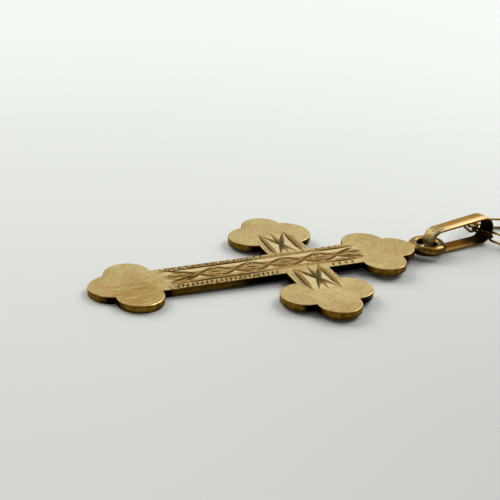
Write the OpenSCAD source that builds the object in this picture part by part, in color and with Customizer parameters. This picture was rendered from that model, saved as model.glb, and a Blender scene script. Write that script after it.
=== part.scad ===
// Cross necklace, lying on a flat surface.
// An engraved budded cross hangs by its eye from a long oval bail. The bail rides on a fine
// cable chain, which a spring ring clasp closes. The lower run of the bail passes under the
// eye, so it props the head of the cross up a little.
// Millimetres, +Z up. The origin is on the surface, under the middle of the whole necklace.

/* [Cross] */
// Length of the cross from bud to bud
cross_l = 30; // [28:0.5:32]
// Span of the cross from arm to arm
cross_span = 19.8; // [19:0.2:21]
// Distance from the crossing to the tip of the top bud
head_l = 11.4; // [11:0.1:12]
// Width of the bars
bar_w = 4; // [3.8:0.1:4.1]
// Thickness of the plate
plate_t = 0.6; // [0.5:0.05:0.8]
// Radius of the bud at each tip
tip_bud_r = 1.93; // [1.8:0.01:2]
// Radius of the two buds beside it
side_bud_r = 2.03; // [1.9:0.01:2.1]
// Rounding of the top edges
edge_r = 0.08; // [0.06:0.02:0.16]

/* [Engraving] */
// Length of a lozenge of the long bar's pattern
lozenge_l = 3.2; // [2.8:0.1:3.4]
// Depth of the long cuts
cut_depth = 0.12; // [0.06:0.01:0.2]
// Distance between the marks along the far edge, larger than along the near edge
mark_step = 0.62; // [0.54:0.02:0.8]

/* [Eye] */
// Outer diameter of the eye ring
eye_od = 3.5; // [3.4:0.1:3.6]
// Diameter of the eye ring's wire
eye_wire = 0.88; // [0.82:0.02:0.9]

/* [Bail] */
// Length of the bail
bail_l = 7.8; // [7.4:0.1:8.2]
// Height of the bail at the eye
bail_h_eye = 2.45; // [2.4:0.05:2.6]
// Height of the bail at the chain
bail_h_chain = 2.75; // [2.65:0.05:2.9]
// Thickness of the band in its middle
bail_t = 0.26; // [0.22:0.02:0.3]
// Width of the band at the eye
bail_w_eye = 1.4; // [1.25:0.05:1.45]
// Width of the band at the chain
bail_w_chain = 1.6; // [1.5:0.05:1.75]
// Turn of the bail away from the long bar
bail_turn = 11; // [8:1:14]

/* [Chain] */
// Length of a link
link_l = 2.3; // [2.2:0.05:2.5]
// Width of a link
link_w = 1.15; // [1.1:0.05:1.2]
// Diameter of the wire
wire_d = 0.2; // [0.18:0.01:0.21]
// Free play of each pair of links
link_play = 0.2; // [0.18:0.01:0.24]
// Radius of the turn that the chain takes through the bail
turn_r = 2.2; // [2.15:0.05:2.3]
// Radius of the wide far end of the loop
loop_r = 32; // [28:1:36]
// Distance between the middles of the two ends of the loop
loop_reach = 147; // [120:1:150]
// Turn of the loop away from the long bar
chain_turn = -23; // [-30:1:-16]

/* [Clasp] */
// Outer diameter of the spring ring
ring_od = 5.4; // [5:0.1:6]
// Diameter of the spring ring's tube
ring_tube = 0.9; // [0.8:0.05:1]

/* [Hidden] */
$fn = 48;
gold = "#bfa970";
rose_gold = "#cfa878";

// Each arm ends in three buds round a middle, which tip_step and side_step place.
tip_step = 1.52;
side_step = 1.97;
side_back = 0.4;
middle_r = 2.38;
foot_l = cross_l - head_l;
tip_reach = tip_step + tip_bud_r;
foot_bud = foot_l - tip_reach;
head_bud = head_l - tip_reach;
arm_bud = cross_span / 2 - tip_reach;

// The buds were filed by hand and differ a little: how far each lies along the arm and to its
// left from its place, and how much larger it is. First the tip's, then the left and the right.
HEAD_FILED = [[-0.09, 0.1, 0.08], [-0.2, -0.04, -0.03], [-0.23, -0.24, -0.09]];
FOOT_FILED = [[-0.09, -0.06, 0.09], [0.13, 0.22, -0.06], [0.07, -0.04, -0.05]];
FAR_FILED = [[0.06, 0.13, -0.06], [-0.03, 0.02, 0.05], [-0.12, 0.6, 0.3]];
NEAR_FILED = [[0.25, -0.11, -0.06], [0.08, -0.14, -0.03], [-0.04, -0.27, -0.05]];

// The long bar's pattern is a row of lozenges between crossing cuts. first_cross is the
// crossing nearest the foot, and each long cut starts a little past its crossing.
first_cross = -9.15;
cross_count = 5;
lozenge_top = 1.05;
lozenge_bottom = -0.85;
rising_cut_w = 0.32;
falling_cut_w = 0.44;
cut_past = 0.2;
cut_ends = [0.3, 0.7];
light_depth = 0.07;
edge_depth = 0.12;

// A line and a row of marks follow each edge of the long bar, from foot_row to head_row.
foot_row = -12.1;
head_row = 5.4;
line_w = 0.26;
line_top = 1.29;
line_bottom = -1.12;
row_top = 1.84;
row_bottom = -1.58;
arm_row = 1.72;
close_step = 0.42;

// Cuts, each as x and y of both ends and the width: a mark of each row, the cuts inside a
// lozenge from its middle, and the cuts at the ends of the pattern from the crossing
TOP_MARK = [-0.06, -0.32, 0.1, 0.24, 0.3];
BOTTOM_MARK = [-0.12, -0.36, 0.12, 0.32, 0.25];
ARM_MARK = [0, 0, 0.14, 0.1, 0.1];
LOZENGE_INSIDE = [
    [-0.6, 0.12, 0.6, 0.08, 0.2],
    [-0.5, 0.45, 0.3, 0.75, 0.16],
    [-0.6, -0.3, 0.5, -0.45, 0.16],
];
PATTERN_ENDS = [
    [-9.5, 0.4, -11.9, 1.5, 0.36],
    [-9.6, 0.12, -12.2, 0.2, 0.18],
    [-9.4, 0.05, -12, -0.8, 0.32],
    [3.5, 0, 5.8, 1.15, 0.34],
    [4.7, 0.3, 6.3, 0.3, 0.2],
    [4.3, -0.1, 6.1, -0.85, 0.36],
];

// The two leaves of each arm and the three cuts between them, with x along the arm from the
// crossing
FAR_ARM_CUTS = [
    [1.15, 1.35, 6.35, 1.2, 0.56],
    [1.35, -1.25, 6.3, -1.3, 0.6],
    [6, 1.15, 1.4, -0.9, 0.46],
    [6.35, 0, 1.4, 0.1, 0.44],
    [6.15, -1.2, 1.6, 0.95, 0.46],
];
NEAR_ARM_CUTS = [
    [1.2, -1.15, 5.7, -1.25, 0.6],
    [1, 1.25, 5.9, 1.3, 0.56],
    [1.3, -1.15, 5.8, 1.25, 0.5],
    [1, 0.25, 5.8, 0.15, 0.48],
    [1.05, 1.45, 5.7, -0.75, 0.46],
];
arm_row_start = 2.25;
arm_row_end = 4.8;

// The eye is a ring of round wire. It overlaps the top bud, to which it is soldered, and its
// middle is eye_up above the plate's back.
eye_overlap = 0.2;
eye_up = 0.25;
eye_r = eye_od / 2;
eye_x = head_l + eye_r - eye_overlap;

// The bail's lower run and a small gap prop up the eye and with it the head of the cross.
eye_gap = 0.15;
prop_h = bail_t + eye_gap + eye_wire / 2 - eye_up;
prop_tilt = asin(prop_h / (foot_l + eye_x + eye_r));

// The bail's eye end passes down through the eye. Its band is crowned on the outside.
bail_seat = [-0.1, -0.02];
eye_end_r = bail_h_eye / 2;
chain_end_r = bail_h_chain / 2;
bail_slope = 2 * atan((chain_end_r - eye_end_r) / (bail_l - chain_end_r - eye_end_r));
band_edge = 0.15;
band_steps = 3;
bail_turns = 16;

// The middle of the chain's turn lies a little past the bail's end. The middle of the first
// link is at first_link on the chain's line, which is 0 at the turn and negative on the right.
turn_past = 0.35;
turn_side = 0.6;
first_link = -2.2;

// The chain's joints lie link_pitch apart. Each link reaches link_reach past its joints.
link_rho = (link_w - wire_d) / 2;
link_straight = link_l - link_w;
link_pitch = link_l - 2 * wire_d - link_play;
link_reach = (wire_d + link_play) / 2;
link_roll = 45;
rest_gap = 0.005;
lie_z = link_rho * sin(link_roll) + wire_d / 2 + rest_gap;
spread = asin((loop_r - turn_r) / loop_reach);
turn_len = arc(turn_r, 90 - spread);
side_len = loop_reach * cos(spread);
half_len = turn_len + side_len + arc(loop_r, 90 + spread);

// In the bail the chain rises over the lower run, a little to the right of its turn.
lift_h = 0.85;
lift_at = -0.9;
lift_reach = 5.5;

// The clasp lies tilted, with the jump ring's side of the spring ring up.
clear = 0.25;
ring_r = (ring_od - ring_tube) / 2;
jump_rho = 1.45;
jump_wire = 0.32;
jump_z = jump_rho * sin(link_roll) + jump_wire / 2 + rest_gap;
small_rho = 0.5;
small_wire = 0.3;
small_sink = 0.3;
small_z = small_rho * sin(link_roll) + small_wire / 2 + rest_gap;
ring_low_z = ring_tube / 2 + rest_gap;
clasp_tilt = asin((jump_z - ring_low_z) / (2 * ring_r));
jump_x = ring_r - ring_tube / 2 - clear - jump_wire / 2 + jump_rho;
small_x = ring_r + small_sink + small_rho;
lever_d = 0.5;
lever_l = 1;
end_lift_reach = 6;

// The last joints are joint_left and joint_right short of the middle of the clasp.
joint_left = small_x + small_rho + link_reach - (wire_d + small_wire) / 2 - clear;
joint_right = jump_x + jump_rho + link_reach - (wire_d + jump_wire) / 2 - clear;
left_len = half_len - joint_left - first_link;
right_len = half_len - joint_right + first_link;
left_count = round(left_len / link_pitch - 0.5);
right_count = round(right_len / link_pitch - 0.5);
left_pitch = left_len / (left_count + 0.5);
right_pitch = right_len / (right_count + 0.5);

// Places in plan, first from the crossing of the bars, then from the middle of the necklace
bail_at = [eye_x, 0] + bail_seat;
turn_at = bail_at + turned([bail_l, 0], bail_turn) + turned([turn_past, turn_side], chain_turn);
loop_at = turn_at + turned([loop_reach, 0], chain_turn);
middle = [(loop_at[0] + loop_r - foot_l) / 2, (cross_span / 2 + loop_at[1] - loop_r) / 2];

function arc(r, a) = r * a * PI / 180;
function degrees(r, len) = len / r * 180 / PI;
function turned(p, a) = [p[0] * cos(a) - p[1] * sin(a), p[0] * sin(a) + p[1] * cos(a)];
function hump(t) = abs(t) < 1 ? (1 + cos(180 * t)) / 2 : 0;
function sign_of(i) = i % 2 == 0 ? 1 : -1;

// The left half of the chain's line in plan, from the turn in the bail to the clasp
function side_line(s) =
    let (normal = [-sin(spread), cos(spread)], along = [cos(spread), sin(spread)])
    s < turn_len ? turn_r * turned([-1, 0], -degrees(turn_r, s)) :
    s < turn_len + side_len ? turn_r * normal + (s - turn_len) * along :
    [loop_reach, 0] + loop_r * turned(normal, -degrees(loop_r, s - turn_len - side_len));

// Height of the chain's line. s is positive on the left half and negative on the right.
function line_z(s) = lie_z + lift_h * hump((s - lift_at) / lift_reach)
    + (small_z - lie_z) * hump((half_len - joint_left - s) / end_lift_reach)
    + (jump_z - lie_z) * hump((half_len - joint_right + s) / end_lift_reach);

function line(s) =
    let (side = side_line(abs(s)), plan = turned([side[0], sign(s) * side[1]], chain_turn))
    [plan[0], plan[1], line_z(s)];

function left_joint(i) = line(first_link + i * left_pitch);
function right_joint(i) = line(first_link - i * right_pitch);

module budded_end(reach, filed) {
    buds = [
        [tip_step, 0, tip_bud_r],
        [-side_back, side_step, side_bud_r],
        [-side_back, -side_step, side_bud_r],
    ];
    translate([reach, 0, 0]) {
        pebble(middle_r);
        for (bud = buds + filed) translate([bud[0], bud[1], 0]) pebble(bud[2]);
    }
}

// A disc of the plate with its top edge rounded
module pebble(r) {
    rotate_extrude() {
        square([r - edge_r, plate_t]);
        square([r, plate_t - edge_r]);
        translate([r - edge_r, plate_t - edge_r]) circle(r = edge_r);
    }
}

// A bar along X with its top edges rounded
module bar(from_x, to_x) {
    translate([from_x, 0, 0]) rotate([90, 0, 90]) linear_extrude(to_x - from_x) {
        for (side = [-1, 1]) translate([side * (bar_w / 2 - edge_r), plate_t - edge_r]) circle(r = edge_r);
        translate([-bar_w / 2, 0]) square([bar_w, plate_t - edge_r]);
        translate([edge_r - bar_w / 2, 0]) square([bar_w - 2 * edge_r, plate_t]);
    }
}

module torus(rho, wire) {
    rotate_extrude() translate([rho, 0]) circle(d = wire, $fn = 24);
}

// A graver's cut in the top face from p to q, of full width between its two sharp ends
module cut(p, q, w, deep = cut_depth) {
    run = norm(q - p);
    across = [[0, w / 2, 0], [0, 0, -deep], [0, -w / 2, 0], [0, 0, deep]];
    rings = [for (t = cut_ends, a = across) a + [t * run, 0, 0]];
    next = [1, 2, 3, 0];
    translate([p[0], p[1], plate_t]) rotate(atan2(q[1] - p[1], q[0] - p[0])) polyhedron(
        points = concat([[0, 0, 0]], rings, [[run, 0, 0]]),
        faces = [
            for (i = [0:3]) [0, next[i] + 1, i + 1],
            for (i = [0:3]) [i + 1, next[i] + 1, next[i] + 5, i + 5],
            for (i = [0:3]) [9, i + 5, next[i] + 5],
        ]);
}

module cut_row(at, row, deep = cut_depth) {
    cut(at + [row[0], row[1]], at + [row[2], row[3]], row[4], deep);
}

module lozenge_cuts() {
    for (i = [0:cross_count - 1], side = [-1, 1], end_y = [lozenge_top, lozenge_bottom]) {
        x = first_cross + i * lozenge_l;
        cut([x - side * cut_past, 0], [x + side * lozenge_l / 2, end_y],
            side * end_y > 0 ? rising_cut_w : falling_cut_w);
    }
    for (i = [1:cross_count - 1], row = LOZENGE_INSIDE)
        cut_row([first_cross + (i - 0.5) * lozenge_l, 0], row, light_depth);
    for (row = PATTERN_ENDS) cut_row([0, 0], row);
}

// The lines and the rows of small marks along both edges of the long bar. Below the crossing
// the near row is closer.
module edge_marks() {
    for (span = [[foot_row, -bar_w / 2, close_step], [bar_w / 2, head_row, mark_step]]) {
        for (y = [line_top, line_bottom]) cut([span[0], y], [span[1], y], line_w, edge_depth);
        for (x = [span[0] + mark_step:mark_step:span[1] - mark_step / 2])
            cut_row([x, row_top], TOP_MARK, edge_depth);
        for (x = [span[0] + mark_step:span[2]:span[1] - mark_step / 2])
            cut_row([x, row_bottom], BOTTOM_MARK, edge_depth);
    }
}

module arm_cuts(rows) {
    for (row = rows) cut_row([0, 0], row);
    for (x = [arm_row_start:mark_step / 2:arm_row_end], side = [-1, 1])
        cut_row([x, side * arm_row], ARM_MARK, light_depth);
}

module cross() {
    color(gold) translate([-foot_l - middle[0], -middle[1], 0]) rotate([0, -prop_tilt, 0])
        translate([foot_l, 0, 0]) difference() {
            union() {
                bar(-foot_bud, head_bud);
                rotate(90) bar(-arm_bud, arm_bud);
                budded_end(head_bud, HEAD_FILED);
                rotate(180) budded_end(foot_bud, FOOT_FILED);
                rotate(90) budded_end(arm_bud, FAR_FILED);
                rotate(-90) budded_end(arm_bud, NEAR_FILED);
                translate([eye_x, 0, eye_up]) torus(eye_r - eye_wire / 2, eye_wire);
            }
            lozenge_cuts();
            edge_marks();
            rotate(90) arm_cuts(FAR_ARM_CUTS);
            rotate(-90) arm_cuts(NEAR_ARM_CUTS);
        }
}

// The bail's band, swept round its oval: a flat inside, a crowned outside and a taper
module bail() {
    steps = [for (i = [0:bail_turns]) i / bail_turns];
    stations = concat(
        [for (t = steps) [chain_end_r, bail_l - chain_end_r, 90 + bail_slope - (180 + bail_slope) * t]],
        [for (t = steps) [eye_end_r, eye_end_r, 270 - (180 - bail_slope) * t]]);
    profile = concat([for (i = [-band_steps:band_steps]) i / band_steps], [1, -1]);
    outer_count = 2 * band_steps + 1;
    sides = len(profile);
    count = len(stations);
    points = [for (st = stations, k = [0:sides - 1])
        let (
            swell = k < outer_count ? band_edge + (bail_t - band_edge) * sqrt(1 - profile[k] ^ 2) : 0,
            r = st[0] - bail_t + swell,
            x = st[1] + r * cos(st[2]),
            half_w = (bail_w_eye + (bail_w_chain - bail_w_eye) * x / bail_l) / 2
        )
        [x, profile[k] * half_w, st[0] + r * sin(st[2])]];
    faces = [for (i = [0:count - 1], k = [0:sides - 1])
        let (j = (i + 1) % count, m = (k + 1) % sides)
        [i * sides + k, i * sides + m, j * sides + m, j * sides + k]];
    color(rose_gold) translate([bail_at[0] - middle[0], bail_at[1] - middle[1], 0])
        rotate(bail_turn) polyhedron(points, faces);
}

// A link along X in the X-Y plane
module link() {
    for (side = [-1, 1]) {
        translate([side * link_straight / 2, 0, 0]) rotate(-90 * side)
            rotate_extrude(angle = 180) translate([link_rho, 0]) circle(d = wire_d, $fn = 16);
        translate([-link_straight / 2, side * link_rho, 0]) rotate([0, 90, 0])
            cylinder(d = wire_d, h = link_straight, $fn = 16);
    }
}

module link_between(from, to, roll) {
    run = to - from;
    translate((from + to) / 2)
        rotate([roll, -asin(run[2] / norm(run)), atan2(run[1], run[0])]) link();
}

// Puts what is drawn from the turn in the bail in its place
module from_turn() {
    translate([turn_at[0] - middle[0], turn_at[1] - middle[1], 0]) children();
}

// Puts what is drawn at the middle of the clasp, with the chain along X, in its place
module at_clasp() {
    sag = joint_left ^ 2 / (2 * loop_r);
    from_turn() rotate(chain_turn - 90) translate([0, loop_reach + loop_r - sag, 0]) children();
}

module chain_left() {
    color(gold) from_turn() {
        link_between(right_joint(0.5), left_joint(0.5), link_roll);
        for (i = [1:left_count])
            link_between(left_joint(i - 0.5), left_joint(i + 0.5), link_roll * sign_of(i));
    }
}

module chain_right() {
    color(gold) {
        from_turn() for (i = [1:right_count])
            link_between(right_joint(i + 0.5), right_joint(i - 0.5), link_roll * sign_of(i));
        at_clasp() translate([jump_x, 0, jump_z]) rotate([-link_roll * sign_of(right_count), 0, 0])
            torus(jump_rho, jump_wire);
    }
}

module clasp() {
    color(gold) at_clasp() {
        translate([0, 0, (ring_low_z + jump_z) / 2]) rotate([0, -clasp_tilt, 0]) {
            torus(ring_r, ring_tube);
            rotate([-90, 0, 0]) translate([0, 0, ring_r]) cylinder(d = lever_d, h = lever_l);
        }
        translate([-small_x, 0, small_z]) rotate([-link_roll * sign_of(left_count), 0, 0])
            torus(small_rho, small_wire);
    }
}

cross();
bail();
chain_left();
chain_right();
clasp();
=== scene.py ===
from math import asin, atan, atan2, cos, pi, radians, sin

import bmesh
import bpy
from bpy.props import FloatProperty, FloatVectorProperty, IntProperty, PointerProperty
from mathutils import Matrix, Vector


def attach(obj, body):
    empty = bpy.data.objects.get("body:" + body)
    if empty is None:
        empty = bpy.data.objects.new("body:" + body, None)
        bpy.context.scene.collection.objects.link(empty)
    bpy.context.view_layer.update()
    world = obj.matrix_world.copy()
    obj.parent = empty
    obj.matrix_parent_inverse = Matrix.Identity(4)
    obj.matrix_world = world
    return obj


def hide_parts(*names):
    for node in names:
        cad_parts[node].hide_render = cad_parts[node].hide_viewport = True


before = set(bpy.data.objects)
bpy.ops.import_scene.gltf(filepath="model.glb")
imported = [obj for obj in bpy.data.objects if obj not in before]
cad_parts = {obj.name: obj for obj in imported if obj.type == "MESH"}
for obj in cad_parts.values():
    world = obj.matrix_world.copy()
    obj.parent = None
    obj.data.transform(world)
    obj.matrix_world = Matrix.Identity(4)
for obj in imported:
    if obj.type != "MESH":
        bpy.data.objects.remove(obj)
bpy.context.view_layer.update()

bl_info = {
    "name": "Cross Necklace",
    "version": (1, 0, 0),
    "blender": (4, 5, 0),
    "location": "3D Viewport > Sidebar > Necklace",
    "description": "Dresses an engraved gold cross, its bail, its fine chain and its clasp",
    "category": "Object",
}

# Pieces are modelled in millimetres, and their meshes are brought to metres at the end.
MM = 0.001
IN_MM = 1 / MM

# The cross, from the crossing of its bars. Its foot lies on the floor and its head is propped
# up. These sizes and those of the chain's line are the same as the solids' own.
FOOT_L = 18.6
CROSS_SPAN = 19.8
BAR_HALF = 2
PLATE_T = 0.6
EYE_X = 12.95
EYE_R = 1.75
EYE_WIRE = 0.88
PROP_H = 0.6
PROP_TILT = asin(PROP_H / (FOOT_L + EYE_X + EYE_R))
PLATE_UP = (-sin(PROP_TILT), 0, cos(PROP_TILT))

# The engraved pattern's crossings are LOZENGE_L apart from FIRST_CROSS on, and its zigzags run
# from there up to ZIGZAG_TOP and down to ZIGZAG_BOTTOM.
FIRST_CROSS = -9.15
LOZENGE_L = 3.2
ZIGZAG_TOP = 1.05
ZIGZAG_BOTTOM = 0.85

# Marked places in the plate's plane, from the crossing of the bars: where cuts cross, the stain
# on the foot, and the corners of the outline where shade is painted, first those that are alike
# on both sides of both arms
CUT_CROSSINGS = ((0, 3.9), (0, -3.4), (FIRST_CROSS - 0.6, -0.2))
STAIN_AT = (-15.2, -1.6)
ARM_CORNERS = ((2, 2), (2, 3.1), (2, 4.2), (2.2, 7.9))
END_CORNERS = (
    (5.8, -2), (5.8, 2), (9.3, -2.1), (9.3, 2.2), (11.4, -0.9),
    (-13, -2), (-13, 2), (-16.9, -2), (-16.9, 2.1))

# The bail hangs in the eye. The chain turns back in the bail, runs out on two sides and closes
# round a wide far end.
BAIL_SEAT = (-0.1, -0.02)
BAIL_L = 7.8
BAIL_TURN = radians(11)
CHAIN_TURN = radians(-23)
TURN_PAST = 0.35
TURN_SIDE = 0.6
TURN_R = 2.2
LOOP_R = 32
LOOP_REACH = 147
SPREAD = asin((LOOP_R - TURN_R) / LOOP_REACH)
TURN_LEN = TURN_R * (pi / 2 - SPREAD)
SIDE_LEN = LOOP_REACH * cos(SPREAD)
HALF_LEN = TURN_LEN + SIDE_LEN + LOOP_R * (pi / 2 + SPREAD)


def turned(p, angle):
    """A point in plan, turned about the origin."""
    return Vector((p[0] * cos(angle) - p[1] * sin(angle), p[0] * sin(angle) + p[1] * cos(angle)))


# Places in plan, first from the crossing of the bars, then from the middle of the necklace
BAIL_AT = Vector((EYE_X + BAIL_SEAT[0], BAIL_SEAT[1]))
TURN_AT = BAIL_AT + turned((BAIL_L, 0), BAIL_TURN) + turned((TURN_PAST, TURN_SIDE), CHAIN_TURN)
LOOP_AT = TURN_AT + turned((LOOP_REACH, 0), CHAIN_TURN)
MIDDLE = Vector(((LOOP_AT.x + LOOP_R - FOOT_L) / 2, (CROSS_SPAN / 2 + LOOP_AT.y - LOOP_R) / 2))
BAIL_SPOT = BAIL_AT - MIDDLE
TURN_SPOT = TURN_AT - MIDDLE
CROSSING = Vector((
    FOOT_L * cos(PROP_TILT) - FOOT_L - MIDDLE.x, -MIDDLE.y, FOOT_L * sin(PROP_TILT)))

# A link of the solids' chain. The links lie rolled on their sides, with their middles LIE_Z up,
# and each reaches LINK_REACH past its joints.
LINK_W = 1.15
CAD_WIRE = 0.2
CAD_LINK_L = 2.3
PLAY = 0.2
LINK_PITCH = CAD_LINK_L - 2 * CAD_WIRE - PLAY
LINK_REACH = (CAD_WIRE + PLAY) / 2
LINK_ROLL = radians(45)
REST_GAP = 0.005
CAD_RHO = (LINK_W - CAD_WIRE) / 2
LIE_Z = CAD_RHO * sin(LINK_ROLL) + CAD_WIRE / 2 + REST_GAP

# Where the first link's middle is on the chain's line, and how the line rises over the bail's
# lower run and at the clasp
FIRST_LINK = -2.2
LIFT_H = 0.85
LIFT_AT = -0.9
LIFT_REACH = 5.5
END_LIFT_REACH = 6

# The clasp's spring ring, the jump ring of the chain's right half and the clasp's own small ring
CLEAR = 0.25
RING_OD = 5.4
RING_TUBE = 0.9
RING_R = (RING_OD - RING_TUBE) / 2
JUMP_RHO = 1.45
JUMP_WIRE = 0.32
JUMP_Z = JUMP_RHO * sin(LINK_ROLL) + JUMP_WIRE / 2 + REST_GAP
SMALL_RHO = 0.5
SMALL_WIRE = 0.3
SMALL_SINK = 0.3
SMALL_Z = SMALL_RHO * sin(LINK_ROLL) + SMALL_WIRE / 2 + REST_GAP
JUMP_X = RING_R - RING_TUBE / 2 - CLEAR - JUMP_WIRE / 2 + JUMP_RHO
SMALL_X = RING_R + SMALL_SINK + SMALL_RHO

# The last joints are JOINT_LEFT and JOINT_RIGHT short of the clasp's middle.
JOINT_LEFT = SMALL_X + SMALL_RHO + LINK_REACH - (CAD_WIRE + SMALL_WIRE) / 2 - CLEAR
JOINT_RIGHT = JUMP_X + JUMP_RHO + LINK_REACH - (CAD_WIRE + JUMP_WIRE) / 2 - CLEAR
LEFT_LEN = HALF_LEN - JOINT_LEFT - FIRST_LINK
RIGHT_LEN = HALF_LEN - JOINT_RIGHT + FIRST_LINK
LEFT_COUNT = round(LEFT_LEN / LINK_PITCH - 0.5)
RIGHT_COUNT = round(RIGHT_LEN / LINK_PITCH - 0.5)
LEFT_PITCH = LEFT_LEN / (LEFT_COUNT + 0.5)
RIGHT_PITCH = RIGHT_LEN / (RIGHT_COUNT + 0.5)

# Steps round the bail's profile, and along and round the wire of a link and of the jump ring
BAND_STEPS = 32
LINK_STEPS = (14, 6)
JUMP_STEPS = (40, 12)

# The spot of the floor that the camera and the lamps look at, from the crossing of the bars
LOOK_AT = (-2.41, 5.093)


# The chain's line

def hump(t):
    """A smooth rise and fall between -1 and 1."""
    return (1 + cos(pi * t)) / 2 if abs(t) < 1 else 0


def side_line(s):
    """The left half of the chain's line in plan, from its turn in the bail to the clasp."""
    normal = Vector((-sin(SPREAD), cos(SPREAD)))
    along = Vector((cos(SPREAD), sin(SPREAD)))
    if s < TURN_LEN:
        return TURN_R * turned((-1, 0), -s / TURN_R)
    if s < TURN_LEN + SIDE_LEN:
        return TURN_R * normal + (s - TURN_LEN) * along
    return Vector((LOOP_REACH, 0)) + LOOP_R * turned(normal, -(s - TURN_LEN - SIDE_LEN) / LOOP_R)


def line(s):
    """A point of the chain's line. s is positive on the left half and negative on the right."""
    side = side_line(abs(s))
    plan = turned((side.x, side.y if s > 0 else -side.y), CHAIN_TURN) + TURN_SPOT
    height = (LIE_Z + LIFT_H * hump((s - LIFT_AT) / LIFT_REACH)
              + (SMALL_Z - LIE_Z) * hump((HALF_LEN - JOINT_LEFT - s) / END_LIFT_REACH)
              + (JUMP_Z - LIE_Z) * hump((HALF_LEN - JOINT_RIGHT + s) / END_LIFT_REACH))
    return Vector((plan.x, plan.y, height))


def left_joint(i):
    """The joint of the left half that lies between links i - 0.5 and i + 0.5."""
    return line(FIRST_LINK + i * LEFT_PITCH)


def right_joint(i):
    return line(FIRST_LINK - i * RIGHT_PITCH)


def roll_of(i):
    """Each link is rolled the other way than the one before it."""
    return LINK_ROLL if i % 2 == 0 else -LINK_ROLL


def link_between(start, end, roll):
    """Where a link along X goes to lie between two joints."""
    run = end - start
    return (Matrix.Translation((start + end) / 2)
            @ Matrix.Rotation(atan2(run.y, run.x), 4, "Z")
            @ Matrix.Rotation(-asin(run.z / run.length), 4, "Y")
            @ Matrix.Rotation(roll, 4, "X"))


def at_clasp():
    """Where what is modelled at the middle of the clasp, with the chain along X, goes."""
    sag = JOINT_LEFT ** 2 / (2 * LOOP_R)
    return (Matrix.Translation((*TURN_SPOT, 0))
            @ Matrix.Rotation(CHAIN_TURN - pi / 2, 4, "Z")
            @ Matrix.Translation((0, LOOP_REACH + LOOP_R - sag, 0)))


# Work on meshes

def start_fresh():
    """Leaves edit mode and deselects everything."""
    if bpy.context.object and bpy.context.object.mode != "OBJECT":
        bpy.ops.object.mode_set(mode="OBJECT")
    bpy.ops.object.select_all(action="DESELECT")


def take(*pieces):
    """Selects pieces and nothing else, the first as the active one."""
    start_fresh()
    for piece in pieces:
        piece.select_set(True)
    bpy.context.view_layer.objects.active = pieces[0]


def edit(piece):
    take(piece)
    bpy.ops.object.mode_set(mode="EDIT")
    bpy.ops.mesh.select_mode(type="VERT")


def pick(piece, test):
    """Selects the vertices whose place passes the test, and the edges and faces between them."""
    bpy.ops.mesh.select_all(action="DESELECT")
    mesh = bmesh.from_edit_mesh(piece.data)
    for vertex in mesh.verts:
        if test(vertex.co):
            vertex.select_set(True)
    mesh.select_flush(True)
    bmesh.update_edit_mesh(piece.data)


def close_up(piece):
    """Turns the faces outwards and leaves edit mode."""
    bpy.ops.mesh.select_all(action="SELECT")
    bpy.ops.mesh.normals_make_consistent(inside=False)
    bpy.ops.object.mode_set(mode="OBJECT")


def copy_to(piece, place):
    """A copy of a piece, with its own mesh, moved by a matrix."""
    copy = piece.copy()
    copy.data = piece.data.copy()
    copy.matrix_world = place
    bpy.context.scene.collection.objects.link(copy)
    return copy


def to_metres(piece, place=Matrix.Identity(4)):
    """Moves a piece that is modelled in millimetres to its place, in metres."""
    take(piece)
    piece.matrix_world = Matrix.Scale(MM, 4) @ place @ piece.matrix_world
    bpy.ops.object.transform_apply(location=True, rotation=True, scale=True)


def join(pieces, name):
    take(*pieces)
    bpy.ops.object.join()
    joined = bpy.context.object
    joined.name = joined.data.name = name
    return joined


def hand_in(piece, material, node):
    """Gives a finished piece its material, its body and the solids it stands for."""
    piece.data.materials.clear()
    piece.data.materials.append(material)
    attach(piece, "root")
    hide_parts(node)


def dress(node, material):
    """Gives the solids of a node another material, and keeps their mesh."""
    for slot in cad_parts[node].material_slots:
        slot.material = material


# Materials

def colour(red, green, blue):
    """A colour given as a screen shows it, from 0 to 255, as Blender's linear one."""
    def linear(value):
        value = value / 255
        return value / 12.92 if value <= 0.04045 else ((value + 0.055) / 1.055) ** 2.4
    return (linear(red), linear(green), linear(blue), 1)


# Keeps grazing reflections in the bail and the wire from turning white
POLISH_TINT = colour(222, 208, 190)


class Signal:
    """A number that changes over a surface, with Python's operators as Math nodes."""

    def __init__(self, finish, socket):
        self.finish = finish
        self.socket = socket

    def math(self, operation, *values):
        sockets = dict(enumerate(values))
        return self.finish.add("ShaderNodeMath", {"operation": operation}, sockets)

    def __add__(self, other):
        return self.math("ADD", self, other)

    def __sub__(self, other):
        return self.math("SUBTRACT", self, other)

    def __rsub__(self, other):
        return self.math("SUBTRACT", other, self)

    def __mul__(self, other):
        return self.math("MULTIPLY", self, other)

    def __truediv__(self, other):
        return self.math("DIVIDE", self, other)

    def __pow__(self, other):
        return self.math("POWER", self, other)

    def __abs__(self):
        return self.math("ABSOLUTE", self)

    __radd__ = __add__
    __rmul__ = __mul__

    def most(self, other):
        return self.math("MAXIMUM", self, other)

    def zigzag(self, length):
        """Rises from 0 to a length and falls back again, over and over."""
        return self.math("PINGPONG", self, length)

    def ramp(self, start, end):
        """0 before start and 1 after end, smooth between them. start may be the larger."""
        if start > end:
            return 1 - self.ramp(end, start)
        return self.finish.add(
            "ShaderNodeMapRange", {"interpolation_type": "SMOOTHSTEP"},
            {"Value": self, "From Min": start, "From Max": end})

    def between(self, start, end, soft):
        """1 from start to end, fading over a short way outside them."""
        return self.ramp(start - soft, start) * self.ramp(end + soft, end)


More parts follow.
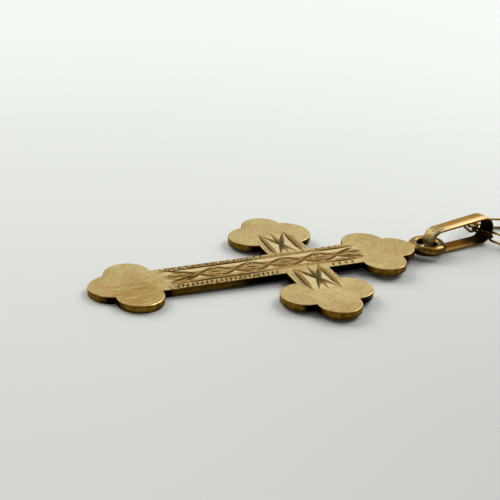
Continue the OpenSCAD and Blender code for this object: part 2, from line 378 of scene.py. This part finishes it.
class Finish:
    """A material or a world, and the nodes that are added to it."""

    def __init__(self, owner):
        owner.use_nodes = True
        self.owner = owner
        self.tree = owner.node_tree

    def add(self, kind, settings=None, sockets=None, output=0):
        """Adds a node: first its settings, then the values and links of its sockets."""
        node = self.tree.nodes.new(kind)
        for name, value in (settings or {}).items():
            setattr(node, name, value)
        for name, value in (sockets or {}).items():
            if isinstance(value, Signal):
                self.tree.links.new(value.socket, node.inputs[name])
            else:
                node.inputs[name].default_value = value
        return Signal(self, node.outputs[output])

    def place(self, at=(0, 0, 0), turn=(0, 0, 0)):
        """Object coordinates in millimetres, from a point and along turned axes."""
        spot = self.add("ShaderNodeTexCoord", output="Object")
        return self.add(
            "ShaderNodeMapping", {"vector_type": "TEXTURE"},
            {"Vector": spot, "Location": [MM * x for x in at], "Rotation": turn,
             "Scale": (MM, MM, MM)})

    def parts(self, vector):
        """A vector's three numbers."""
        split = self.add("ShaderNodeSeparateXYZ", None, {"Vector": vector})
        outputs = split.socket.node.outputs
        return [Signal(self, outputs[i]) for i in range(3)]

    def vector_math(self, operation, *vectors, output="Vector"):
        return self.add(
            "ShaderNodeVectorMath", {"operation": operation}, dict(enumerate(vectors)), output)

    def scaled(self, vector, by):
        return self.vector_math("MULTIPLY", vector, by)

    def along(self, vector, direction):
        return self.vector_math("DOT_PRODUCT", vector, direction, output="Value")

    def distance(self, vector, point):
        return self.vector_math("DISTANCE", vector, point, output="Value")

    def facing(self, direction):
        """How far the surface faces a direction."""
        return self.along(self.add("ShaderNodeTexCoord", output="Normal"), direction)

    def near(self, vector, points, reach, full):
        """0 past a reach from all of some points in plan, rising to 1 close to one of them."""
        nearest = None
        for x, y in points:
            close = self.distance(vector, (x, y, 0)).ramp(reach, full)
            nearest = close if nearest is None else nearest.most(close)
        return nearest

    def noise(self, vector, scale, detail=2, roughness=0.5):
        return self.add(
            "ShaderNodeTexNoise", None,
            {"Vector": vector, "Scale": scale, "Detail": detail, "Roughness": roughness})

    def specks(self, vector, scale, size, share):
        """Round specks, as many as a share of the cells of a pattern."""
        cell = self.add("ShaderNodeTexVoronoi", None, {"Vector": vector, "Scale": scale})
        chance = self.parts(Signal(self, cell.socket.node.outputs["Color"]))[0]
        return cell.ramp(size, size * 0.5) * chance.ramp(share, share * 0.7)

    def blend(self, factor, first, second):
        """Two colours mixed by a factor."""
        return self.add(
            "ShaderNodeMix", {"data_type": "RGBA"}, {0: factor, 6: first, 7: second}, output=2)

    def layers(self, body, *coats):
        """A colour with coats laid over it in order, each a factor and its colour."""
        for factor, coat in coats:
            body = self.blend(factor, body, coat)
        return body

    def bump(self, height, distance):
        """A bumped normal, with its height in millimetres."""
        return self.add("ShaderNodeBump", None, {"Height": height, "Distance": distance * MM})

    def surface(self, **sockets):
        """Sets the sockets of the material's own shader."""
        shader = self.tree.nodes["Principled BSDF"]
        for name, value in sockets.items():
            socket = shader.inputs[name.replace("_", " ")]
            if isinstance(value, Signal):
                self.tree.links.new(value.socket, socket)
            else:
                socket.default_value = value
        return self.owner


def new_finish(name):
    return Finish(bpy.data.materials.new(name))


def pale_lenses(u, v):
    """Where the long bar is pale, in a lens above and below each crossing of its zigzags."""
    from_cross = (u - FIRST_CROSS).zigzag(LOZENGE_L / 2) / (LOZENGE_L / 2)
    over = v - ZIGZAG_TOP * from_cross
    under = -ZIGZAG_BOTTOM * from_cross - v
    return (over.ramp(0.02, 0.16) * v.between(0.78, 1.1, 0.2)).most(
        under.ramp(0.02, 0.14) * v.ramp(-0.8, -0.4))


def engraved_gold(tone):
    """Gold of the cross: a finely scratched face, tarnished cuts and dark, stained sides, with
    painted light and shade over them.
    """
    f = new_finish("engraved_gold")
    plate = f.place(CROSSING, (0, -PROP_TILT, 0))
    flat = f.scaled(plate, (1, 1, 0))
    u, v, w = f.parts(plate)
    depth = PLATE_T - w
    up = f.facing(PLATE_UP)
    left = f.facing((-0.8, -0.6, 0)).ramp(0.1, 0.35)
    right = f.facing((0.85, -0.5, 0)).ramp(0.05, 0.3)
    wall = up.ramp(0.7, 0.3)
    bar_edge = (BAR_HALF + 0.02, BAR_HALF - 0.02)
    on_bar = u.between(-12.4, 6.5, 0.1) * abs(v).ramp(*bar_edge)
    on_arm = abs(v).ramp(7, 6.9) * abs(u).ramp(*bar_edge)

    # Clouds of wear, streaks along the bar, fine scratches and pits
    clouds = f.noise(plate, 0.55, 3)
    mottle = f.noise(plate, 2.2, 3, 0.6)
    streaks = f.noise(f.scaled(plate, (0.5, 5, 1)), 1.2, 4, 0.65)
    grain = f.noise(f.scaled(plate, (1.5, 9, 1)), 3, 2, 0.6)
    pits = f.specks(plate, 0.9, 0.13, 0.2)
    worn = clouds * 0.3 + mottle * 0.2 + streaks * 0.3 + grain * 0.2

    # The band of the pattern is browner than the face, but for its lenses, and brownest along
    # the far line.
    band = u.between(-11.6, 5.6, 0.8) * v.between(-1.15, 1.66, 0.12)
    brown = f.layers(
        f.blend((mottle * 0.5 + grain * 0.5).ramp(0.4, 0.6), colour(130, 94, 36),
                colour(186, 154, 92)),
        (pale_lenses(u, v), colour(218, 197, 148)),
        (v.ramp(1.22, 1.34) * 0.7, colour(138, 100, 38)))

    # Tarnish in the cuts, greenish where cuts cross, with painted light and shade over it: light
    # brown on the walls that face left, darker on the others and nearly black in the bottoms. The
    # arms' cuts have their own painted browns past the bar's edge, dark on walls that face right
    # and in bottoms.
    inner = abs(v).ramp(1.9, 1.86).most(on_arm * abs(v).ramp(2.06, 2.1) * abs(u).ramp(1.9, 1.86))
    in_cut = depth.ramp(0.004, 0.02).most(up.ramp(0.985, 0.93) * inner)
    in_cut = in_cut * on_bar.most(on_arm) * up.ramp(0.3, 0.6)
    bottom = depth.ramp(0.06, 0.12)
    # Painted light and shade on the arms' cut walls, by the way they face
    leaf = f.layers(
        f.blend(right, colour(132, 103, 54), colour(66, 49, 20)),
        (bottom * 0.7, colour(40, 28, 8)))
    green = f.near(flat, CUT_CROSSINGS, 1.2, 0.3)
    cut = f.layers(
        f.blend(left, colour(100, 74, 30), colour(156, 121, 62)),
        (right, colour(86, 62, 22)),
        (bottom * (0.8 - 0.5 * left), colour(42, 30, 10)),
        (on_arm * abs(v).ramp(1.9, 2.1), leaf),
        (green * 0.7, colour(48, 46, 10)))

    # The face, with honey stains on the foot, dark specks among the marks and painted glints
    # beside them, and a pale ground between the arms' cuts
    ends = u.ramp(-15, -19).most(u.ramp(5, 11) * 0.8).most(v.ramp(-7.5, -10))
    stain = f.near(flat, [STAIN_AT], 4.2, 0.8) * streaks.ramp(0.36, 0.6)
    near_row = u.between(-11.6, -4.2, 0.5) * v.ramp(-1.2, -1.34)
    rows = u.between(-12, -3.2, 0.6) * abs(v).between(1.36, 2.04, 0.08)
    dots = f.noise(f.scaled(plate, (1.6, 1, 1)), 3.2, 2, 0.6)
    between_cuts = abs(u).ramp(1.5, 1) * abs(v).between(2.6, 5, 0.8)
    face = f.layers(
        f.blend(worn.ramp(0.41, 0.57), colour(172, 141, 82), tone),
        (streaks.ramp(0.48, 0.66) * 0.6, colour(158, 122, 60)),
        (grain.ramp(0.46, 0.58) * 0.4, colour(222, 203, 156)),
        (ends * 0.35, colour(156, 124, 62)),
        (stain * 0.85, colour(158, 116, 36)),
        (band * 0.9, brown),
        (near_row * streaks.ramp(0.4, 0.6) * 0.7, colour(146, 106, 36)),
        (rows * dots.ramp(0.51, 0.57) * 0.85, colour(72, 48, 16)),
        # Painted glints among the marks
        (rows * dots.ramp(0.42, 0.38) * 0.6, colour(232, 212, 160)),
        (between_cuts * 0.5, colour(232, 214, 172)),
        (pits * (1 - band) * 0.6, colour(112, 82, 38)),
        (in_cut, cut))

    # Olive brown sides with rusty blotches along the bars, and painted shade: darker near the
    # floor and along the bars, and black beside the arms and in the corners
    bar_side = on_bar.most(on_arm)
    rust = mottle.ramp(0.44, 0.56) * bar_side * w.ramp(0.12, 0.2)
    shade_beside_arm = u.between(-5, 6, 2.5) * abs(v).ramp(2.4, 2.1)
    corner = f.near(f.vector_math("ABSOLUTE", flat), ARM_CORNERS, 1.35, 0.55)
    corner = corner.most(f.near(flat, END_CORNERS, 1.35, 0.55))
    side = f.layers(
        f.blend(mottle.ramp(0.35, 0.65), colour(104, 72, 14), colour(156, 118, 38)),
        (streaks.ramp(0.45, 0.7) * 0.5, colour(92, 54, 14)),
        (w.ramp(0.22, 0.06) * 0.6, colour(52, 32, 8)),
        (bar_side * (0.55 + 0.45 * w.ramp(0.26, 0.4)), colour(26, 12, 3)),
        (rust * 0.7, colour(14, 7, 2)),
        (corner.most(shade_beside_arm), colour(8, 5, 2)))

    # The eye's round wire, olive brown, with painted shade on its right, inside its hole and on
    # its underside
    from_eye = f.distance(flat, (EYE_X, 0, 0))
    ring = from_eye.ramp(EYE_R + 0.03, EYE_R - 0.03) * u.ramp(11.3, 11.5)
    wire = f.layers(
        f.blend(mottle.ramp(0.4, 0.6), colour(104, 76, 26), colour(170, 136, 72)),
        (u.ramp(EYE_X + 0.2, EYE_X + 1.2) * 0.95, colour(48, 31, 8)),
        (from_eye.ramp(EYE_R - EYE_WIRE * 0.5, EYE_R - EYE_WIRE), colour(26, 16, 5)),
        (w.ramp(0.35, 0.15), colour(64, 38, 10)))

    # The rounded top edge is smoother, and has painted shade where it faces left.
    rim = up.between(0.35, 0.93, 0.04) * depth.ramp(0.1, 0.08) * (1 - in_cut)
    body = f.layers(face, (wall, side), (ring, wire), (rim * left * 0.8, colour(132, 100, 44)))
    rough = 0.36 + 0.14 * worn + in_cut * 0.1 + pits * 0.2 + wall * 0.1
    rough = rough - (rim * (1 - left) + ring) * 0.16
    relief = streaks * 0.5 + grain * 0.3 + mottle * 0.4 - pits * 1.5
    return f.surface(
        Base_Color=body, Metallic=1, Specular_Tint=colour(245, 240, 232),
        Roughness=rough.most(0.16), Normal=f.bump(relief, 0.012))


def band_gold(tone):
    """Redder polished gold of the bail, greyer where it rubs in the eye, with painted highlights
    and painted shade, black at the chain.
    """
    f = new_finish("rose_gold")
    band = f.place((*BAIL_SPOT, 0), (0, 0, BAIL_TURN))
    x, y, z = f.parts(band)
    mottle = f.noise(band, 1.6, 3, 0.6)
    scratches = f.noise(f.scaled(band, (0.6, 6, 4)), 1.5, 4, 0.65)

    # Grey wear in the eye, and a lower run that is redder and darker than the upper one: painted
    # shade under the upper run, lighter towards its near edge
    rubbed = x.ramp(2.4, 1.0) * z.ramp(0.4, 1.0)
    worn = f.blend(scratches.ramp(0.45, 0.58), colour(124, 110, 64), colour(190, 173, 124))
    lower = f.blend(y.ramp(-0.1, -0.6), colour(96, 50, 16), colour(152, 120, 56))

    # Painted shade, black, in the hollow round the chain, measured from the middle of the oval's
    # end
    past_x = (x - (BAIL_L - 1.4)).most(0)
    past_z = z - 1.38
    from_middle = (past_x * past_x + past_z * past_z) ** 0.5
    inside = from_middle.ramp(1.22, 1.15) * x.ramp(BAIL_L - 2.7, BAIL_L - 1.9)

    # Painted light across the band: a darker far side, a pale highlight near its near edge and a
    # dark line of shade along its near rim
    body = f.layers(
        f.blend(mottle.ramp(0.35, 0.65), tone, colour(168, 116, 52)),
        (scratches.ramp(0.5, 0.7) * 0.5, colour(134, 86, 34)),
        (y.ramp(0.1, 0.7) * 0.6, colour(124, 98, 40)),
        (y.between(-0.5, -0.3, 0.22) * 0.8, colour(238, 208, 160)),
        (y.ramp(-0.6, -0.68) * 0.8, colour(100, 62, 28)),
        (rubbed * 0.85, worn),
        (z.ramp(0.8, 0.4), lower),
        (inside, colour(8, 4, 2)))
    return f.surface(
        Base_Color=body, Metallic=1, Specular_Tint=POLISH_TINT,
        Roughness=0.2 + 0.14 * mottle + (inside + rubbed) * 0.25,
        Normal=f.bump(scratches * 0.5 + mottle * 0.5, 0.008))


def wire_gold(tone, name):
    """Polished gold wire, darker in patches, with painted shade on the links in the bail."""
    f = new_finish(name)
    spot = f.place()
    mottle = f.noise(spot, 1.1, 3, 0.6)
    fine = f.noise(spot, 7, 3, 0.6)
    # Painted shade in the bail: links there are painted black, flecked with painted golden glints
    in_bail = BAIL_SPOT + turned((BAIL_L - 2.1, 0), BAIL_TURN)
    painted_bail_shade = f.near(f.scaled(spot, (1, 1, 0)), [in_bail], 2.5, 1.9)
    shaded_link_colour = f.blend(fine.ramp(0.53, 0.61), colour(20, 10, 3), colour(140, 100, 40))
    body = f.layers(
        f.blend(mottle.ramp(0.35, 0.62), tone, colour(150, 120, 64)),
        (fine.ramp(0.54, 0.68) * 0.7, colour(84, 58, 24)),
        (painted_bail_shade * 0.96, shaded_link_colour))
    return f.surface(
        Base_Color=body, Metallic=1, Specular_Tint=POLISH_TINT,
        Roughness=0.24 + 0.14 * mottle + painted_bail_shade * 0.15, Normal=f.bump(fine, 0.006))


def floor_paint(near, far, turn):
    """Plain pale surface with painted light and shade: brighter towards the back of the view,
    dimmer in front on the right.
    """
    f = new_finish("floor_paint")
    spot = f.place((*CROSSING.xy, 0), (0, 0, -turn))
    front_right_shade = f.near(spot, [(34, -26)], 50, 8)
    body = f.layers(
        f.blend(f.parts(spot)[1].ramp(-95, 95), near, far),
        (front_right_shade * 0.36, colour(165, 165, 161)))
    return f.surface(Base_Color=body, Roughness=0.6)


# What a user would change

class NecklaceCross(bpy.types.PropertyGroup):
    tone: FloatVectorProperty(
        name="Gold", description="Colour of the cross where it is clean",
        subtype="COLOR", size=4, min=0, max=1, default=colour(200, 178, 121))


class NecklaceBail(bpy.types.PropertyGroup):
    tone: FloatVectorProperty(
        name="Rose gold", description="Colour of the bail where it is clean",
        subtype="COLOR", size=4, min=0, max=1, default=colour(191, 142, 77))
    height_eye: FloatProperty(
        name="Height at the eye", description="Height of the oval at its eye end",
        default=0.00245, min=0.0024, max=0.0026, unit="LENGTH")
    height_chain: FloatProperty(
        name="Height at the chain", description="Height of the oval at its chain end",
        default=0.00275, min=0.00265, max=0.0029, unit="LENGTH")
    thickness: FloatProperty(
        name="Thickness", description="Thickness of the band in its middle",
        default=0.00026, min=0.00022, max=0.0003, unit="LENGTH")
    rim: FloatProperty(
        name="Rim", description="Thickness of the band at its rims",
        default=0.0001, min=0.00005, max=0.0002, unit="LENGTH")
    width_eye: FloatProperty(
        name="Width at the eye", description="Width of the band at its eye end",
        default=0.0014, min=0.00125, max=0.00145, unit="LENGTH")
    width_chain: FloatProperty(
        name="Width at the chain", description="Width of the band at its chain end",
        default=0.0016, min=0.0015, max=0.00175, unit="LENGTH")
    steps: IntProperty(
        name="Steps", description="Steps round each end of the oval",
        default=28, min=12, max=64)


class NecklaceChain(bpy.types.PropertyGroup):
    tone: FloatVectorProperty(
        name="Chain gold", description="Colour of the wire where it is clean",
        subtype="COLOR", size=4, min=0, max=1, default=colour(206, 180, 120))
    wire: FloatProperty(
        name="Wire", description="Diameter of the links' wire",
        default=0.00026, min=0.0002, max=0.00028, unit="LENGTH")
    play: FloatProperty(
        name="Play", description="Free play of two links that meet",
        default=0.00003, min=0.00001, max=0.0001, unit="LENGTH")


class NecklaceStage(bpy.types.PropertyGroup):
    # Painted light on the floor: it is painted darker in front than behind.
    floor_near: FloatVectorProperty(
        name="Floor in front", description="Colour of the floor in front of the necklace",
        subtype="COLOR", size=4, min=0, max=1, default=colour(205, 205, 200))
    floor_far: FloatVectorProperty(
        name="Floor behind", description="Colour of the floor behind the necklace",
        subtype="COLOR", size=4, min=0, max=1, default=colour(242, 244, 240))
    lens: FloatProperty(
        name="Lens", description="Focal length on a 36 mm sensor, in millimetres",
        default=75.634, min=20, max=200)
    distance: FloatProperty(
        name="Distance", description="From the camera to the point that it looks at",
        default=0.09489, min=0.05, max=1, unit="LENGTH")
    elevation: FloatProperty(
        name="Elevation", description="Height of the camera above the horizon",
        default=radians(23.9357), min=0, max=radians(90), subtype="ANGLE")
    turn: FloatProperty(
        name="Turn", description="Turn of the view from along the arms to the head's side",
        default=radians(23.6769), min=-pi, max=pi, subtype="ANGLE")
    roll: FloatProperty(
        name="Roll", description="Lean of the camera about its own axis",
        default=radians(3.4796), min=-pi, max=pi, subtype="ANGLE")


# Operators

class NECKLACE_OT_cross(bpy.types.Operator):
    """Gives the cross its engraved and stained gold"""
    bl_idname = "necklace.cross"
    bl_label = "Finish Cross"

    def execute(self, context):
        dress("cross", engraved_gold(tuple(context.scene.necklace_cross.tone)))
        return {"FINISHED"}


class NECKLACE_OT_bail(bpy.types.Operator):
    """Sweeps the bail's half round band round its oval"""
    bl_idname = "necklace.bail"
    bl_label = "Model Bail"

    def execute(self, context):
        settings = context.scene.necklace_bail
        eye_r = settings.height_eye * IN_MM / 2
        chain_r = settings.height_chain * IN_MM / 2
        crown = (settings.thickness - settings.rim) * IN_MM
        rim = settings.rim * IN_MM
        chain_x = BAIL_L - chain_r
        slope = 2 * atan((chain_r - eye_r) / (chain_x - eye_r))

        # The profile at the start of the lower run: a crowned outside, and a flat inside that is
        # a little narrower
        start_fresh()
        bpy.ops.mesh.primitive_circle_add(
            vertices=BAND_STEPS, radius=1, fill_type="NOTHING",
            location=(chain_x, 0, crown), rotation=(0, pi / 2, 0))
        bail = bpy.context.object
        bail.name = bail.data.name = "bail_band"
        bpy.ops.object.transform_apply(location=True, rotation=True, scale=True)
        edit(bail)
        bpy.ops.mesh.select_all(action="SELECT")
        bpy.ops.transform.resize(
            value=(1, settings.width_eye * IN_MM / 2, crown), center_override=(chain_x, 0, crown))
        pick(bail, lambda co: co.z > crown * 1.01)
        bpy.ops.transform.resize(value=(1, 0.99, 0), center_override=(chain_x, 0, crown))
        bpy.ops.transform.translate(value=(0, 0, rim))

        # Round the chain's end, along the upper run and round the eye's end
        bpy.ops.mesh.select_all(action="SELECT")
        bpy.ops.mesh.spin(
            steps=settings.steps, angle=pi + slope, center=(chain_x, 0, chain_r),
            axis=(0, 1, 0))
        top = pi / 2 + slope
        run = Vector((eye_r - chain_x, 0, eye_r - chain_r)) + (eye_r - chain_r) * Vector(
            (cos(top), 0, sin(top)))
        bpy.ops.mesh.extrude_region_move(TRANSFORM_OT_translate={"value": run})
        bpy.ops.mesh.spin(
            steps=settings.steps, angle=pi - slope, center=(eye_r, 0, eye_r), axis=(0, 1, 0))
        bpy.ops.mesh.select_all(action="DESELECT")
        bpy.ops.mesh.select_non_manifold(extend=False, use_wire=False, use_multi_face=False,
                                         use_non_contiguous=False, use_verts=False)
        bpy.ops.mesh.bridge_edge_loops()
        close_up(bail)

        # The band widens towards the chain.
        taper = bail.modifiers.new("Taper", "SIMPLE_DEFORM")
        taper.deform_method = "TAPER"
        taper.deform_axis = "X"
        taper.lock_z = True
        taper.factor = settings.width_chain / settings.width_eye - 1
        bpy.ops.object.modifier_apply(modifier=taper.name)
        bpy.ops.object.shade_smooth_by_angle(angle=radians(35))
        to_metres(
            bail, Matrix.Translation((*BAIL_SPOT, 0)) @ Matrix.Rotation(BAIL_TURN, 4, "Z"))
        hand_in(bail, band_gold(tuple(settings.tone)), "bail")
        return {"FINISHED"}


class NECKLACE_OT_chain(bpy.types.Operator):
    """Models one link and threads copies of it along both halves of the chain"""
    bl_idname = "necklace.chain"
    bl_label = "Model Chain"

    def execute(self, context):
        settings = context.scene.necklace_chain
        wire = settings.wire * IN_MM
        length = LINK_PITCH + 2 * wire + settings.play * IN_MM

        start_fresh()
        bpy.ops.mesh.primitive_torus_add(
            major_segments=LINK_STEPS[0], minor_segments=LINK_STEPS[1],
            major_radius=(LINK_W - wire) / 2, minor_radius=wire / 2)
        link = bpy.context.object
        edit(link)
        stretch = (length - LINK_W) / 2
        for side in (-1, 1):
            pick(link, lambda co: co.x * side > 0)
            bpy.ops.transform.translate(value=(side * stretch, 0, 0))
        close_up(link)
        bpy.ops.object.shade_smooth()

        # The left half starts with the link that joins both, in the bail.
        left = [(right_joint(0.5), left_joint(0.5), roll_of(0))]
        left += [(left_joint(i - 0.5), left_joint(i + 0.5), roll_of(i))
                 for i in range(1, LEFT_COUNT + 1)]
        right = [(right_joint(i + 0.5), right_joint(i - 0.5), roll_of(i))
                 for i in range(1, RIGHT_COUNT + 1)]
        left, right = ([copy_to(link, link_between(*ends)) for ends in half]
                       for half in (left, right))
        bpy.data.meshes.remove(link.data)

        # The jump ring goes round the spring ring's tube.
        start_fresh()
        bpy.ops.mesh.primitive_torus_add(
            major_segments=JUMP_STEPS[0], minor_segments=JUMP_STEPS[1],
            major_radius=JUMP_RHO, minor_radius=JUMP_WIRE / 2)
        ring = bpy.context.object
        bpy.ops.object.shade_smooth()
        ring.matrix_world = (at_clasp() @ Matrix.Translation((JUMP_X, 0, JUMP_Z))
                             @ Matrix.Rotation(-roll_of(RIGHT_COUNT), 4, "X"))
        right.append(ring)

        material = wire_gold(tuple(settings.tone), "chain_gold")
        for links, node in ((left, "chain_left"), (right, "chain_right")):
            half = join(links, node + "_links")
            to_metres(half)
            hand_in(half, material, node)
        return {"FINISHED"}


class NECKLACE_OT_clasp(bpy.types.Operator):
    """Gives the spring ring clasp its polished gold"""
    bl_idname = "necklace.clasp"
    bl_label = "Finish Clasp"

    def execute(self, context):
        dress("clasp", wire_gold(tuple(context.scene.necklace_chain.tone), "clasp_gold"))
        return {"FINISHED"}


class NECKLACE_OT_stage(bpy.types.Operator):
    """Lays the floor, lights it softly and sets the camera"""
    bl_idname = "necklace.stage"
    bl_label = "Set Stage"

    def execute(self, context):
        settings = context.scene.necklace_stage
        start_fresh()
        bpy.ops.mesh.primitive_plane_add(size=6, location=(0, 0, 0))
        floor = bpy.context.object
        floor.name = floor.data.name = "floor"
        floor.data.materials.append(
            floor_paint(tuple(settings.floor_near), tuple(settings.floor_far), settings.turn))

        # A pale room, brightest low behind the necklace and dimmer in front of it
        f = Finish(context.scene.world or bpy.data.worlds.new("room"))
        context.scene.world = f.owner
        direction = f.add("ShaderNodeTexCoord", output="Generated")
        behind = f.along(direction, (0.5, 0.82, 0.28))
        up = f.parts(direction)[2]
        glow = 0.22 + 0.76 * behind.ramp(0.2, 0.95) - 0.1 * up.ramp(0.6, 1)
        background = f.tree.nodes["Background"]
        background.inputs["Color"].default_value = colour(250, 255, 250)
        f.tree.links.new(glow.socket, background.inputs["Strength"])

        target = Vector((CROSSING.x + LOOK_AT[0], CROSSING.y + LOOK_AT[1], 0)) * MM
        for name, toward, away, size, power in (
                ("light_behind", (-0.41, 0.71, 0.57), 1.0, 0.6, 5.2),
                ("light_right", (0.75, 0.3, 0.59), 1.0, 0.5, 3.8),
                ("light_side", (0.55, -0.1, 0.82), 0.9, 0.3, 1.0)):
            at = target + away * Vector(toward)
            bpy.ops.object.light_add(type="AREA", location=at)
            light = bpy.context.object
            light.name = light.data.name = name
            light.data.size = size
            light.data.energy = power
            light.rotation_mode = "QUATERNION"
            light.rotation_quaternion = (target - at).to_track_quat("-Z", "Y")

        back = Vector((-sin(settings.turn) * cos(settings.elevation),
                       -cos(settings.turn) * cos(settings.elevation), sin(settings.elevation)))
        bpy.ops.object.camera_add()
        camera = bpy.context.object
        camera.name = camera.data.name = "camera"
        camera.matrix_world = (
            Matrix.Translation(target + settings.distance * back)
            @ Matrix.Rotation(-settings.turn, 4, "Z")
            @ Matrix.Rotation(pi / 2 - settings.elevation, 4, "X")
            @ Matrix.Rotation(settings.roll, 4, "Z"))
        camera.data.sensor_width = 36
        camera.data.lens = settings.lens
        camera.data.clip_start = 0.005
        camera.data.clip_end = 20
        context.scene.camera = camera
        context.scene.view_settings.view_transform = "Standard"
        return {"FINISHED"}


class NECKLACE_PT_pieces(bpy.types.Panel):
    bl_label = "Cross Necklace"
    bl_idname = "NECKLACE_PT_pieces"
    bl_space_type = "VIEW_3D"
    bl_region_type = "UI"
    bl_category = "Necklace"

    def draw(self, context):
        scene = context.scene
        for operator, settings in (
                (NECKLACE_OT_cross, scene.necklace_cross),
                (NECKLACE_OT_bail, scene.necklace_bail),
                (NECKLACE_OT_chain, scene.necklace_chain),
                (NECKLACE_OT_clasp, None),
                (NECKLACE_OT_stage, scene.necklace_stage)):
            box = self.layout.box()
            for name in settings.__annotations__ if settings else ():
                box.prop(settings, name)
            box.operator(operator.bl_idname)


GROUPS = {
    "necklace_cross": NecklaceCross,
    "necklace_bail": NecklaceBail,
    "necklace_chain": NecklaceChain,
    "necklace_stage": NecklaceStage,
}
CLASSES = (
    *GROUPS.values(), NECKLACE_OT_cross, NECKLACE_OT_bail, NECKLACE_OT_chain,
    NECKLACE_OT_clasp, NECKLACE_OT_stage, NECKLACE_PT_pieces,
)


def register():
    for cls in CLASSES:
        bpy.utils.register_class(cls)
    for name, group in GROUPS.items():
        setattr(bpy.types.Scene, name, PointerProperty(type=group))


def unregister():
    for name in GROUPS:
        delattr(bpy.types.Scene, name)
    for cls in reversed(CLASSES):
        bpy.utils.unregister_class(cls)


def main():
    register()
    bpy.ops.necklace.cross()
    bpy.ops.necklace.bail()
    bpy.ops.necklace.chain()
    bpy.ops.necklace.clasp()
    bpy.ops.necklace.stage()


if __name__ == "__main__":
    main()
